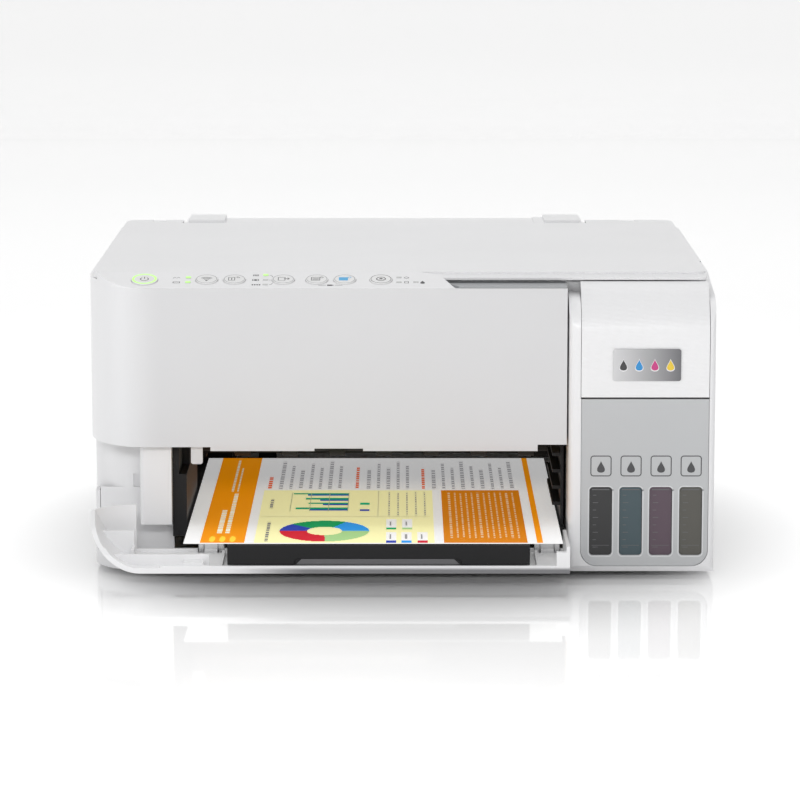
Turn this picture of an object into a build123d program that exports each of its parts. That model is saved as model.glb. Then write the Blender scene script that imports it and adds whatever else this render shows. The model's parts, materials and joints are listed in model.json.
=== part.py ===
from build123d import *
import math
import os

os.makedirs("parts", exist_ok=True)

# ---------------------------------------------------------------- driving dimensions (mm)
# Working frame: X to the user's right, Y to the rear from the tank unit's front face, Z up from the table.
HALF_WIDTH = 187.5
DEPTH = 347.0
FOOT = 4.0
WALL = 2.5
GAP = 0.5

SPLIT_LOW = 48.0            # joint between base tub and housing shell
SPLIT_SCAN = 122.0          # joint between housing shell and scanner unit
BODY_SIDE = 185.5           # outer face of the housing shell
BEZEL_TOP = 178.0
LID_TOP = 182.3
LID_UNDER = 178.3

PANEL_Y = 3.0               # face of the front panel
PANEL_BOTTOM = 80.0
PANEL_TOP = 175.2
PANEL_RIGHT = 99.3
CORNER_X = 35.5             # the front left corner is a quarter ellipse in plan
CORNER_Y = 55.0
WRAP_REAR = 58.4            # rear edge of the panel's wrapped side

TANK_LEFT = 100.3
TANK_REAR = 118.0
TANK_FLOOR = 4.6
FACIA_TOP = 109.3
COVER_SPLIT = 110.1

FLAP_X = (-144.0, 123.0)    # paper support
FLAP_Y = (305.5, 344.5)
SCAN_REAR_MID = 303.0
SCAN_REAR = 325.0
SCAN_PIVOT = (335.0, 172.0)
LID_PIVOT = (319.0, 179.5)
TURRET_Y = 328.0            # front of the housing's rear turrets
FLAP_PIVOT = (342.0, 176.0)
TANK_PIVOT = (16.5, 167.5)
COVER_PIVOT = (7.75, 18.75)
COVER_PINS = (-113.0, 88.0)

COVER_FRONT = -50.0
COVER_UNDER = 14.0
RIM_TOP = 18.5              # top of the open cover's rim
RUN_CLEAR = 0.05            # radial clearance of a running fit

TANK_PITCH = 17.9
FIRST_TANK_X = 119.7
TANK_TOP = 80.0
CAP_PIVOT = (50.5, TANK_TOP + 5.0)
SCREW_HEAD = 1.2
TANK_NAMES = ("black", "cyan", "magenta", "yellow")
WINDOW_W = 13.0
WINDOW_Z = (15.0, 56.0)

SLOPE = math.degrees(math.atan2(LID_TOP - PANEL_TOP, 26.8 - PANEL_Y))
BUTTON_Y = 15.0
S_END = (10.8, 26.9)
BUTTON_THICK = 2.6
BUTTONS = {
    "power_button": (-152.0, 7.9),
    "wireless_button": (-115.0, 6.7),
    "network_button": (-98.5, 6.7),
    "scan_mode_button": (-69.4, 6.7),
    "mono_copy_button": (-49.5, 6.7),
    "color_copy_button": (-32.9, 6.7),
    "stop_button": (-11.3, 6.7),
}

RAIL_Y, RAIL_Z = 205.0, 88.0
CARRIAGE_X = 60.0
FEED_Y, FEED_Z = 232.0, 62.0
EXIT_Y, EXIT_Z = 150.0, 56.0
PICKUP_Y, PICKUP_Z = 300.0, 96.0
SHEET_Z = 31.0
SHEET_HALF = 111.0
SHEET_X = -15.7
SHEET_REAR = 249.4

# The row's origin is under the middle of the box around the whole printer, its cover open.
ORIGIN_Y = (COVER_FRONT + DEPTH + SCREW_HEAD) / 2


# ---------------------------------------------------------------- small tools
def block(x, y, z):
    """Box from (low, high) pairs."""
    size = (x[1] - x[0], y[1] - y[0], z[1] - z[0])
    return Pos((x[0] + x[1]) / 2, (y[0] + y[1]) / 2, (z[0] + z[1]) / 2) * Box(*size)


def rod_x(x, y, z, radius):
    """Round bar along X."""
    return Pos((x[0] + x[1]) / 2, y, z) * Rot(0, 90, 0) * Cylinder(radius, x[1] - x[0])


def rod_y(x, y, z, radius):
    """Round bar along Y."""
    return Pos(x, (y[0] + y[1]) / 2, z) * Rot(90, 0, 0) * Cylinder(radius, y[1] - y[0])


def rod_z(x, y, z, radius):
    """Round bar along Z."""
    return Pos(x, y, (z[0] + z[1]) / 2) * Cylinder(radius, z[1] - z[0])


def plan(x, y, radii):
    """Rectangle in plan with its own radius at the front left, front right, back right and back left."""
    corners = [(x[0], y[0]), (x[1], y[0]), (x[1], y[1]), (x[0], y[1])]
    face = make_face(Polyline(*corners, close=True))
    for (cx, cy), radius in zip(corners, radii):
        if radius:
            face = fillet(face.vertices().sort_by_distance((cx, cy, 0))[0], radius)
    return face


def prism(face, z):
    """A plan outline raised from z[0] to z[1]."""
    return Pos(0, 0, z[0]) * extrude(face, z[1] - z[0])


def side_outline(points, x):
    """Outline given as (y, z) points, extruded along X."""
    face = make_face(Polyline(*[(0, py, pz) for py, pz in points], close=True))
    return Pos(x[0], 0, 0) * extrude(face, x[1] - x[0], dir=(1, 0, 0))


def round_edges(solid, axis, at, radius):
    """Fillets the edges along an axis that lie nearest to each point in the list."""
    edges = solid.edges().filter_by(axis)
    return fillet([edges.sort_by_distance(point)[0] for point in at], radius)


def save(node, shape):
    export_step(Pos(0, -ORIGIN_Y, 0) * shape, f"parts/{node}.step")


# ---------------------------------------------------------------- lower housing
def base_tub():
    """White tub under the machine: floor, low walls, lugs for the front cover's hinge."""
    outer = prism(plan((-184.5, 184.5), (8, 345), (34, 3, 6, 6)), (FOOT, SPLIT_LOW))
    inner = prism(plan((-182, 182), (10.5, 342.5), (31.5, 3, 4, 4)), (FOOT + WALL, SPLIT_LOW + 1))
    tub = outer - inner
    tub -= block((TANK_LEFT - GAP, 190), (0, TANK_REAR + GAP), (0, 60))
    tub -= block((-190, TANK_LEFT), (0, 37), (12.5, 60))
    tub -= block((-163, -127), (340, 350), (15, 39))
    tub -= block((-112, -96), (340, 350), (17, 31))
    for x in COVER_PINS:
        for offset in (-6.0, 6.0):
            ear = block((x + offset - 1.5, x + offset + 1.5), (10, 15), (FOOT + 1, 20))
            ear += rod_x((x + offset - 1.5, x + offset + 1.5), *COVER_PIVOT, 4)
            tub += ear
        tub += rod_x((x - 6, x + 6), *COVER_PIVOT, 2)
    return tub


def housing_shell():
    """White walls, top deck, rear hinge turrets and the upright left of the paper opening."""
    low = prism(plan((-BODY_SIDE, BODY_SIDE), (37, DEPTH), (22, 3, 8, 8)), (SPLIT_LOW, SPLIT_SCAN - GAP))
    room = plan((-BODY_SIDE + WALL, BODY_SIDE - WALL), (37 + WALL, DEPTH - WALL), (19.5, 1, 5.5, 5.5))
    shell = low - prism(room, (SPLIT_LOW - 1, SPLIT_SCAN - 3))
    shell -= block((-172, 172), (60, 303), (90, 130))
    shell -= block((-137, TANK_LEFT), (30, 60), (0, 130))
    shell -= block((-190, TANK_LEFT), (30, WRAP_REAR + GAP), (PANEL_BOTTOM - 1, 130))
    shell -= block((TANK_LEFT - GAP, 190), (0, TANK_REAR + GAP), (0, 130))
    shell += prism(plan((-BODY_SIDE, BODY_SIDE), (TURRET_Y, DEPTH), (0, 0, 8, 8)), (SPLIT_SCAN - 3, BEZEL_TOP))
    shell += block((FLAP_X[0] - 2, FLAP_X[1] + 2), (306, TURRET_Y), (SPLIT_SCAN - 3, 174))
    shell -= block((FLAP_X[0] + 2, FLAP_X[1] - 2), (308.5, 344.5), (100, 182))
    shell -= block((-182, 182), (TURRET_Y + WALL, 344.5), (100, 160))
    shell -= block(FLAP_X, (340, 350), (168.5, 182))
    for x in (-162.0, 154.0):
        shell -= block((x - 10, x + 10), (326, 342), (162, 182))
        shell += rod_x((x - 11, x + 11), *SCAN_PIVOT, 3)
    for x in (FLAP_X[0] + 8, FLAP_X[1] - 8):
        shell += rod_x((x - 9, x + 9), *FLAP_PIVOT, 1.2)
    shell -= block((-130, 110), (343, 350), (52, 150))
    shell -= block((-163, -127), (340, 350), (15, 39))
    pillar = block((-156, -137), (14, 60), (31, 79))
    shell += round_edges(pillar, Axis.Z, [(-156, 14, 55)], 3)
    shell -= block((-161.5, -156.5), (34, 42), (50, 58))
    shell += block((-161.5, -156.5), (39, 41), (49, 59))
    return shell + block((-181.4, -137), (37.2, 39.5), (12, 50))


def output_frame():
    """Black inner frame of the paper output: floor, two side walls and the ledge over the opening."""
    frame = block((-137, 98.6), (24, 252), (22, 28))
    left = block((-137, -128.5), (24, 140), (28, 84)) - block((-133, -124), (20, 60), (60, 85))
    frame += left + block((96.8, 98.6), (28, 112), (22, 88))
    for z in (40, 50, 60, 70):
        frame += block((92, 97), (30, 112), (z, z + 2))
    for x in (-110, -70, -30, 10, 50):
        frame += block((x, x + 2), (30, 250), (28, 30))
    return frame


def rear_cover():
    """Removable cover on the back with grip ribs and a finger recess."""
    plate = block((-129.5, 109.5), (344.8, DEPTH), (52.5, 149.5))
    plate = round_edges(plate, Axis.Y, [(-129.5, 346, 52.5), (-129.5, 346, 149.5),
                                        (109.5, 346, 52.5), (109.5, 346, 149.5)], 5)
    for z in range(64, 110, 8):
        plate -= block((-110, 90), (346, 348), (z, z + 2.5))
    plate -= Pos(-10, DEPTH, 134) * Rot(0, 90, 0) * Cylinder(1.8, 46)
    return plate


def rubber_feet():
    """Four rubber pads under the tub and two under the tank unit."""
    spots = [(-160, 60), (-160, 320), (160, 320), (60, 40), (-20, 330)]
    feet = [rod_z(x, y, (0, FOOT), 8) for x, y in spots]
    feet.append(rod_z(144, 40, (0, TANK_FLOOR), 8))
    return Compound(children=feet)


def case_screws():
    """Six cross-head screws in the back of the housing."""
    spots = [(x, z) for x in (-176, 176) for z in (62, 106, 150)]
    heads = []
    top = DEPTH + SCREW_HEAD
    for x, z in spots:
        head = rod_y(x, (DEPTH, top), z, 3.2)
        slot = block((x - 2, x + 2), (top - 0.8, top + 1), (z - 0.4, z + 0.4))
        slot += block((x - 0.4, x + 0.4), (top - 0.8, top + 1), (z - 2, z + 2))
        heads.append(head - slot)
    return Compound(children=heads)


# ---------------------------------------------------------------- tank unit
TANK_RIM = [(0, TANK_FLOOR + 4), (0, 150), (1.2, 158), (6, 165.5), (14, 169.5), (32, 172), (52, 175), (70, 177.5),
            (TANK_REAR, 177.5), (TANK_REAR, TANK_FLOOR), (4, TANK_FLOOR)]


def tank_housing():
    """White case of the tank unit: floor, two cheeks that curve back at the top, and a back wall."""
    case = side_outline(TANK_RIM, (TANK_LEFT, HALF_WIDTH))
    case = round_edges(case, Axis.Z, [(TANK_LEFT, 0, 80)], 4)
    case = round_edges(case, Axis.Z, [(HALF_WIDTH, 0, 80)], 4)
    case -= block((104.3, 184), (2.5, TANK_REAR - WALL), (TANK_FLOOR + WALL, 190))
    case -= block((107.3, 184), (-5, 10), (COVER_SPLIT - GAP, 190))
    case -= prism_front(107.6, 183.9, 8.3, FACIA_TOP + 1, 10, -5, 6)
    case -= block((TANK_LEFT - 1, 104.5), (26, 125), (120, 190))
    case -= block((TANK_LEFT - 1, 184.2), (60, 125), (120, 190))
    case -= block((110, 182), (TANK_REAR - WALL - 1, TANK_REAR + 1), (13, 19))
    case += side_outline(TANK_RIM, (104.3, 107.3)) & block((100, 110), (2.5, 23), (COVER_SPLIT, 190))
    case += rod_x((104.3, 184), *TANK_PIVOT, 1.2)
    return case


def prism_front(x0, x1, z0, z1, radius, y0, y1):
    """Upright plate with rounded lower corners."""
    plate = block((x0, x1), (y0, y1), (z0, z1))
    return round_edges(plate, Axis.Y, [(x0, (y0 + y1) / 2, z0), (x1, (y0 + y1) / 2, z0)], radius)


def tank_x(index):
    return FIRST_TANK_X + index * TANK_PITCH


def tank_facia():
    """Grey front plate with a rounded window for each tank."""
    plate = prism_front(107.8, 183.7, 8.5, FACIA_TOP, 10, 0.6, 3.2)
    for index in range(len(TANK_NAMES)):
        half = WINDOW_W / 2 + 0.3
        window = block((tank_x(index) - half, tank_x(index) + half), (-2, 5), (WINDOW_Z[0], WINDOW_Z[1] + 0.6))
        corners = [(tank_x(index) + side * half, 1.5, z) for side in (-1, 1)
                   for z in (WINDOW_Z[0], WINDOW_Z[1] + 0.6)]
        plate -= round_edges(window, Axis.Y, corners, 2.2)
    return plate


def ink_tank(index):
    """Translucent tank: a tall bottle with the sight window on its front and a filler neck on top."""
    x = tank_x(index)
    body = block((x - 8.2, x + 8.2), (4, 84), (8.6, TANK_TOP))
    body = round_edges(body, Axis.Y, [(x - 8.2, 44, TANK_TOP), (x + 8.2, 44, TANK_TOP)], 3)
    sight = block((x - 6.5, x + 6.5), (1.8, 5), WINDOW_Z)
    body += round_edges(sight, Axis.Y, [(x - 6.5, 3, WINDOW_Z[0]), (x + 6.5, 3, WINDOW_Z[0]),
                                        (x - 6.5, 3, WINDOW_Z[1]), (x + 6.5, 3, WINDOW_Z[1])], 2)
    body += rod_z(x, 34, (TANK_TOP - 1, TANK_TOP + 8), 6)
    body += rod_y(x, (83, 88), 16, 2.5)
    body -= rod_z(x, 34, (TANK_TOP - 40, TANK_TOP + 9), 4)
    for side in (-1, 1):
        body += block((x + side * 4.5 - 1, x + side * 4.5 + 1), (48, 53), (TANK_TOP - 1, TANK_TOP + 7))
    return body + rod_x((x - 4.5, x + 4.5), *CAP_PIVOT, 1.2)


def tank_cap(index):
    """Hinged stopper with a colour-keyed top and a finger tab."""
    x = tank_x(index)
    seat = TANK_TOP + 8.3
    cap = block((x - 7.5, x + 7.5), (24, 43), (seat, seat + 4))
    cap = round_edges(cap, Axis.Z, [(x - 7.5, 24, seat + 2), (x + 7.5, 24, seat + 2)], 5)
    cap += block((x - 2.9, x + 2.9), (42, 50.5), (seat, seat + 2.7))
    cap += rod_x((x - 2.9, x + 2.9), *CAP_PIVOT, 3.4)
    cap += block((x - 2.9, x + 2.9), (47.1, 53.9), (CAP_PIVOT[1], seat + 0.7))
    cap += rod_z(x, 34, (seat - 3.7, seat + 0.7), 3.2)
    cap += block((x - 3, x + 3), (20.5, 26), (seat + 0.7, seat + 3.2))
    return cap - rod_x((x - 4, x + 4), *CAP_PIVOT, 1.2 + RUN_CLEAR)


def tank_cover():
    """White cover over the filler caps, curving from the vertical face back to the lid's front edge."""
    def skin(inset):
        face_y = 0.2 + inset
        lines = Line((0, face_y, COVER_SPLIT + 0.3), (0, face_y, 146))
        lines += Spline((0, face_y, 146), (0, 7 + inset, 166.5 - inset), (0, 19.2, 177.6 - inset),
                        tangents=[(0, 0, 1), (0, 1, 0.28)])
        return lines
    outer = skin(0)
    inner = skin(WALL)
    ends = Line((0, 19.2, 177.6), (0, 19.2, 177.6 - WALL))
    ends += Line((0, 0.2, COVER_SPLIT + 0.3), (0, 0.2 + WALL, COVER_SPLIT + 0.3))
    cover = Pos(107.6, 0, 0) * extrude(make_face(outer + inner + ends), 76.1, dir=(1, 0, 0))
    for x in (116.0, 175.0):
        cover += rod_x((x - 4, x + 4), *TANK_PIVOT, 2.6) + block((x - 4, x + 4), (14.5, 18.5), (167.5, 175))
        cover -= rod_x((x - 5, x + 5), *TANK_PIVOT, 1.2 + RUN_CLEAR)
    return cover


def badge_plate():
    """Small silver plate on the tank cover."""
    plate = block((126.2, 166.7), (-0.7, 0.2), (120.3, 139.5))
    corners = [(x, 0, z) for x in (126.2, 166.7) for z in (120.3, 139.5)]
    return round_edges(plate, Axis.Y, corners, 1.5)


def ink_tubes():
    """Four tubes from the tank outlets to the clamp on the frame, rigid along the housing floor."""
    tubes = []
    for index in range(len(TANK_NAMES)):
        x = tank_x(index)
        end = 124 + 5 * index
        path = FilletPolyline((x, 88, 16), (x, 106 - 3 * index, 16), (end, 156, 16), (end, 156, 60), radius=7)
        tubes.append(sweep(Plane(path @ 0, z_dir=path % 0) * Circle(1.6), path))
    return Compound(children=tubes)


# ---------------------------------------------------------------- print mechanism
def chassis_frame():
    """Bent steel frame that carries the carriage rail: a channel across the machine with two end plates."""
    frame = block((-150, 172), (222, 224), (82, 116))
    frame += block((-150, 172), (212, 224), (114, 116))
    for x in (-150, 170):
        frame += block((x, x + 2), (130, 246), (50, 116))
        frame -= rod_x((x - 1, x + 3), RAIL_Y, RAIL_Z, 4)
        frame -= rod_x((x - 1, x + 3), FEED_Y, FEED_Z, 5 + RUN_CLEAR)
        frame -= rod_x((x - 1, x + 3), EXIT_Y, EXIT_Z, 3 + RUN_CLEAR)
    for x in (-150, 162):
        frame += block((x, x + 10), (180, 196), (48.5, 50.5))
    return frame


def carriage_rail():
    """Ground steel bar that the carriage slides on."""
    return rod_x((-150, 172), RAIL_Y, RAIL_Z, 4)


def carriage():
    """Black carriage: a sleeve on the rail and a cup for the head and its dampers."""
    x = CARRIAGE_X
    body = block((x - 40, x + 40), (160, 198), (74, 108))
    body -= block((x - 36, x + 36), (164, 194), (80, 110))
    body += block((x - 40, x + 40), (196, 211), (80, 98))
    body -= rod_x((x - 41, x + 41), RAIL_Y, RAIL_Z, 4 + RUN_CLEAR)
    for offset in (-18, 0, 18):
        body += block((x + offset - 1, x + offset + 1), (163, 195), (80, 104))
    return body


def print_head():
    """Print head block under the carriage with its nozzle plate."""
    x = CARRIAGE_X
    head = block((x - 24, x + 24), (166, 192), (68, 74))
    return head + block((x - 18, x + 18), (170, 188), (66, 68))


def carriage_belt():
    """Toothed belt loop that pulls the carriage, between the motor pulley and the idler."""
    loop = prism(SlotOverall(310, 12.4), (100, 104)) - prism(SlotOverall(308, 10.4), (99, 105))
    return Pos(10, 216.4, 102) * Rot(90, 0, 0) * Pos(0, 0, -102) * loop


def belt_pulley(x):
    """Flanged pulley for the carriage belt, turning on an axis along Y."""
    wheel = rod_y(x, (213.4, 219.4), 102, 4.8)
    return wheel + rod_y(x, (211.4, 213), 102, 6.6) + rod_y(x, (219.8, 221.4), 102, 6.6)


def motors():
    """Two direct-current motors: one for the belt and one for the paper feed."""
    belt = rod_y(158.8, (226, 258), 102, 10.8) + rod_y(158.8, (224, 226), 102, 5)
    feed = rod_x((-182, -158), 204, 70, 12) + rod_x((-158, -155), 204, 70, 3)
    return Compound(children=[belt, feed])


def feed_roller():
    """Grit-coated steel feed roller with its gear."""
    roller = rod_x((-152, 172), FEED_Y, FEED_Z, 5) + rod_x((-156, -151), FEED_Y, FEED_Z, 20)
    for tooth in range(36):
        turn = Pos(-153.5, FEED_Y, FEED_Z) * Rot(10 * tooth, 0, 0)
        roller += turn * Pos(0, 0, 20) * Box(5, 1.6, 2.4)
    return roller


def exit_roller():
    """Exit shaft with its row of rubber-covered rollers and a gear."""
    shaft = rod_x((-152, 172), EXIT_Y, EXIT_Z, 3) + rod_x((-156, -151), EXIT_Y, EXIT_Z, 10)
    for x in range(-105, 80, 30):
        shaft += rod_x((x, x + 10), EXIT_Y, EXIT_Z, 6)
    return shaft


def platen():
    """Black support under the print head with spacer ribs."""
    plate = block((-124, 84), (160, 222), (50, 54))
    for x in range(-118, 82, 12):
        plate += block((x, x + 2), (164, 220), (54, 58))
    return plate + block((-139, -124), (168, 216), (46, 52)) + block((84, 108), (168, 216), (46, 52))


def maintenance_station():
    """Cap, wiper and pump at the parking side of the carriage."""
    base = block((112, 160), (160, 214), (30, 52))
    base += block((118, 146), (166, 192), (52, 60)) - block((120, 144), (168, 190), (54, 62))
    base += block((152, 154), (168, 190), (52, 63))
    return base + rod_x((118, 150), 204, 40, 9)


def main_board():
    """Printed circuit board standing at the left side."""
    board = block((-176, -174.4), (70, 190), (52, 112))
    for y, z in ((84, 62), (112, 70), (150, 60), (166, 92)):
        board += block((-174.4, -171.5), (y, y + 16), (z, z + 14))
    return board


def power_supply():
    """Enclosed power supply at the rear left corner of the tub."""
    box = block((-178, -112), (262, 330), (7, 44))
    for y in range(270, 326, 8):
        box -= block((-180, -176.8), (y, y + 3), (14, 38))
    return box


def ac_inlet():
    """Two-pin mains inlet in the rear wall."""
    inlet = block((-162, -128), (330, 346), (16, 38))
    hole = block((-157, -133), (334, 350), (21, 33))
    inlet -= round_edges(hole, Axis.Y, [(x, 342, z) for x in (-157, -133) for z in (21, 33)], 4)
    for x in (-151, -139):
        inlet += rod_y(x, (334, 343), 27, 1.2)
    return inlet


def usb_port():
    """Square USB socket in the rear wall."""
    port = block((-111, -97), (330, 346), (18, 30))
    port -= block((-109.5, -98.5), (333, 350), (19.5, 28.5))
    return port + block((-107, -101), (333, 342), (22, 26))


# ---------------------------------------------------------------- paper path at the back

def paper_hopper():
    """Black sloping plate that the blank sheets stand on in the rear feed slot."""
    def lean(y):
        return [(y, 171), (y + 3, 171), (y - 6, 118), (y - 9, 118)]
    plate = side_outline(lean(337), (-140, 119))
    for x in (-120, -60, 0, 60, 98):
        plate += side_outline([(335, 170), (337.6, 170), (329, 122), (326.4, 122)], (x, x + 3))
    return plate + block((-140, 119), (318, 331), (116, 119))


def edge_guide():
    """Sliding guide that squares the stack's left edge, with a finger tab."""
    guide = side_outline([(318, 167.5), (333.2, 167.5), (325.6, 122.5), (318, 122.5)], (-112, -109))
    return guide + side_outline([(314, 171.5), (334.2, 171.5), (333.4, 167.5), (314, 167.5)], (-118, -109))


def pickup_roller():
    """Rubber roller that takes one sheet from the stack."""
    roller = rod_x((-20, 8), PICKUP_Y, PICKUP_Z, 16) + rod_x((-60, 60), PICKUP_Y, PICKUP_Z, 3)
    return roller


def paper_support():
    """Flap over the rear feed slot that folds back to hold the blank sheets."""
    flap = block((FLAP_X[0] + 0.5, FLAP_X[1] - 0.5), FLAP_Y, (178.6, 182))
    flap = round_edges(flap, Axis.Z, [(FLAP_X[0] + 0.5, FLAP_Y[0], 180), (FLAP_X[1] - 0.5, FLAP_Y[0], 180)], 3)
    flap -= block((-118, 90), (309, 350), (181.2, 183))
    for x in (FLAP_X[0] + 2, FLAP_X[1] - 26):
        bump = block((x, x + 24), (308, 343), (181, 184))
        flap += round_edges(bump, Axis.X, [(x + 12, 308, 184), (x + 12, 343, 184)], 1.5)
    for x in (FLAP_X[0] + 8, FLAP_X[1] - 8):
        flap += rod_x((x - 3, x + 3), *FLAP_PIVOT, 3) + block((x - 3, x + 3), (339.4, 344.6), (176, 180))
        flap -= rod_x((x - 4, x + 4), *FLAP_PIVOT, 1.2 + RUN_CLEAR)
    return flap


# ---------------------------------------------------------------- paper output
def cover_blank(inset, front=COVER_FRONT):
    """Outer form of the open front cover: a shallow tray whose left end sweeps up as a quarter ellipse."""
    low = COVER_UNDER + inset
    left = -CORNER_X - 152 + inset
    sweep_line = EllipticalCenterArc((-152, COVER_UNDER + CORNER_Y), CORNER_X - inset, CORNER_Y - inset,
                                     start_angle=180, arc_size=90)
    lines = sweep_line + Line((-152, low), (PANEL_RIGHT - inset, low))
    lines += Line((PANEL_RIGHT - inset, low), (PANEL_RIGHT - inset, 69)) + Line((PANEL_RIGHT - inset, 69), (left, 69))
    form = extrude(Plane.XZ * make_face(lines), 400, both=True)
    return form & prism(plan((-190, PANEL_RIGHT - inset), (front + inset, 5 - inset),
                             (0, 0, 0, 34 - inset)), (0, 80))


def front_cover():
    """Front cover, open: it lies forward on its hinge, a shallow tray with stiffening ribs."""
    cover = cover_blank(0) - cover_blank(WALL)
    cover -= block((-157.5, 110), (-60, 10), (RIM_TOP, 80))
    rim = [(-60, 20), (-49.9, 25), (-46, 31.5), (-40, 36), (-30, 40), (-10, 44), (10, 46)]
    cover -= side_outline(rim + [(10, 80), (-60, 80)], (-200, -140))
    cover -= cover_blank(3.2, COVER_FRONT - 10) & block((-200, -140), (-70, COVER_FRONT + WALL + 0.1), (0, 80))
    inside = cover_blank(1)
    cover += block((-180, -112), (-38, -36), (15.5, 23)) & inside
    cover += block((-182, -157.5), (-16, -14), (15.5, 33)) & inside
    cover += block((-158.5, -157), (-30, -14), (15.5, 24))
    cover += block((-127, -115), (-47.6, -36), (15.5, 20))
    cover += block((91.5, PANEL_RIGHT), (COVER_FRONT, -46), (COVER_UNDER + 1, 26.5))
    cover += block((97.3, PANEL_RIGHT), (COVER_FRONT, 3), (COVER_UNDER + 1, 30))
    for x in (-106, 80):
        cover += block((x, x + 2), (-47.6, -2), (15.5, RIM_TOP))
    for x in (-60, 0, 50):
        cover += block((x, x + 2), (-47.6, -2), (15.5, 17.8))
    for x in COVER_PINS:
        cover -= block((x - 8, x + 8), (0.5, 6), (13, 30))
        lug = rod_x((x - 3.8, x + 3.8), *COVER_PIVOT, 4) + block((x - 3.8, x + 3.8), (-1, 7.75), (15.2, 18.2))
        cover += lug
        cover -= rod_x((x - 5, x + 5), *COVER_PIVOT, 2 + RUN_CLEAR)
    return cover


def output_tray():
    """Black stacker plate on the open cover, with a finger notch in its front edge."""
    top = SHEET_Z - 0.5
    tray = block((-101, 76), (-48.5, 3), (18.8, 21.5))
    tray += block((-101, 76), (-48.5, -46), (18.8, top))
    for x in (-101, 74):
        tray += block((x, x + 2), (-48.5, 3), (18.8, top))
    for x in (-70, -40, -10, 20, 50):
        tray += block((x, x + 1.6), (-46.5, 3), (21, top - 0.2))
    notch = block((-62, 36), (-52, -47.4), (17, 22.5))
    notch = round_edges(notch, Axis.Y, [(-62, -50, 22.5), (36, -50, 22.5)], 3)
    return tray - notch


def printed_sheet():
    """One printed page lying on the tray and the inner floor as it leaves the machine."""
    return block((SHEET_X - SHEET_HALF, SHEET_X + SHEET_HALF), (-47.6, SHEET_REAR), (SHEET_Z, SHEET_Z + 0.3))


# ---------------------------------------------------------------- scanner unit
def corner_plan(inset, y_end):
    """Plan of the front panel's outline: straight front, quarter-ellipse corner, short left side."""
    front = PANEL_Y + inset
    left = -152 - CORNER_X + inset
    lines = EllipticalCenterArc((-152, PANEL_Y + CORNER_Y), CORNER_X - inset, CORNER_Y - inset,
                                start_angle=180, arc_size=90)
    lines += Line((-152, front), (PANEL_RIGHT, front)) + Line((PANEL_RIGHT, front), (PANEL_RIGHT, y_end))
    lines += Line((PANEL_RIGHT, y_end), (left, y_end)) + Line((left, y_end), (left, PANEL_Y + CORNER_Y))
    return make_face(lines)


def button_place(x):
    """Plane of a button on the sloping strip."""
    rise = (BUTTON_Y - PANEL_Y) * math.tan(math.radians(SLOPE))
    return Pos(x, BUTTON_Y, PANEL_TOP + rise) * Rot(SLOPE, 0, 0)


def front_panel():
    """Plain white front of the scanner unit, wrapped round the left corner, with a shelf under the strip."""
    panel = prism(corner_plan(0, WRAP_REAR), (PANEL_BOTTOM, PANEL_TOP))
    panel -= prism(corner_plan(WALL, 70), (PANEL_BOTTOM - 1, PANEL_TOP - WALL))
    panel -= block((-190, 110), (26.8, 70), (PANEL_TOP - WALL - 1, 190))
    wrap = prism(corner_plan(0, WRAP_REAR), (PANEL_TOP - 4, BEZEL_TOP)) - prism(corner_plan(WALL, 70), (150, 190))
    panel += wrap & block((-190, -170), (26.8, 70), (150, 190))
    panel += block((PANEL_RIGHT - WALL, PANEL_RIGHT), (PANEL_Y + 1, 26.8), (PANEL_BOTTOM + 1.5, PANEL_TOP))
    panel -= block((82, 110), (0, 40), (PANEL_BOTTOM - 1, PANEL_BOTTOM + 1.5))
    lip = block((-113, 82), (PANEL_Y + 0.8, PANEL_Y + WALL), (PANEL_BOTTOM - 2.5, PANEL_BOTTOM))
    panel += lip - block((-51, -22), (0, 10), (70, PANEL_BOTTOM - 1))
    tongue = block((-125, -118), (10.4, 12), (68.5, PANEL_BOTTOM + 2))
    panel += round_edges(tongue, Axis.Y, [(-125, 11, 68.5), (-118, 11, 68.5)], 1.5)
    panel += block((-125, -118), (PANEL_Y + 1, 12), (PANEL_BOTTOM, PANEL_BOTTOM + 2))
    for x, radius in BUTTONS.values():
        panel -= button_place(x) * Cylinder(radius + 0.25, 24)
    return panel


def s_curve(shift):
    """Edge between the strip and the lid's nose: a slant from the front, then an S back to the lid's line."""
    corner = (25.2 + shift, 19.4)
    back = (S_END[0] + shift, 30)
    edge = Line((38 + shift, -8), corner) + Spline(corner, (S_END[0] + shift, S_END[1]),
                                                   tangents=[(-0.3, 1), (-1, 0.35)])
    return edge + Line((S_END[0] + shift, S_END[1]), back)


def control_strip():
    """Sloping control panel with a hole for each button and an S-shaped right end."""
    wedge = side_outline([(PANEL_Y, PANEL_TOP), (26.8, LID_TOP), (26.8, PANEL_TOP)], (-190, 40))
    wedge &= prism(corner_plan(0, WRAP_REAR), (170, 190))
    end = s_curve(0) + Line((38, -8), (60, -8)) + Line((60, -8), (60, 30)) + Line((60, 30), (S_END[0], 30))
    strip = wedge - prism(make_face(end), (170, 190))
    for x, radius in BUTTONS.values():
        strip -= button_place(x) * Cylinder(radius + 0.25, 24)
    return strip


def handhold():
    """Dark grey shelf to the right of the strip, where the fingers lift the scanner unit."""
    floor = Polyline((35, PANEL_Y + 0.4), (26, 19.6), (26, 26.4), (PANEL_RIGHT - 0.3, 26.4),
                     (PANEL_RIGHT - 0.3, PANEL_Y + 0.4), close=True)
    return prism(make_face(floor), (PANEL_TOP, PANEL_TOP + 1.4))


def button(x, radius):
    """Round key with a domed edge and a stem down to its switch."""
    key = fillet((Pos(0, 0, -BUTTON_THICK / 2 + 0.8) * Cylinder(radius, BUTTON_THICK)).edges().sort_by(Axis.Z)[-1],
                 0.5)
    key += Pos(0, 0, -4) * Cylinder(2, 6)
    return button_place(x) * key


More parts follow.
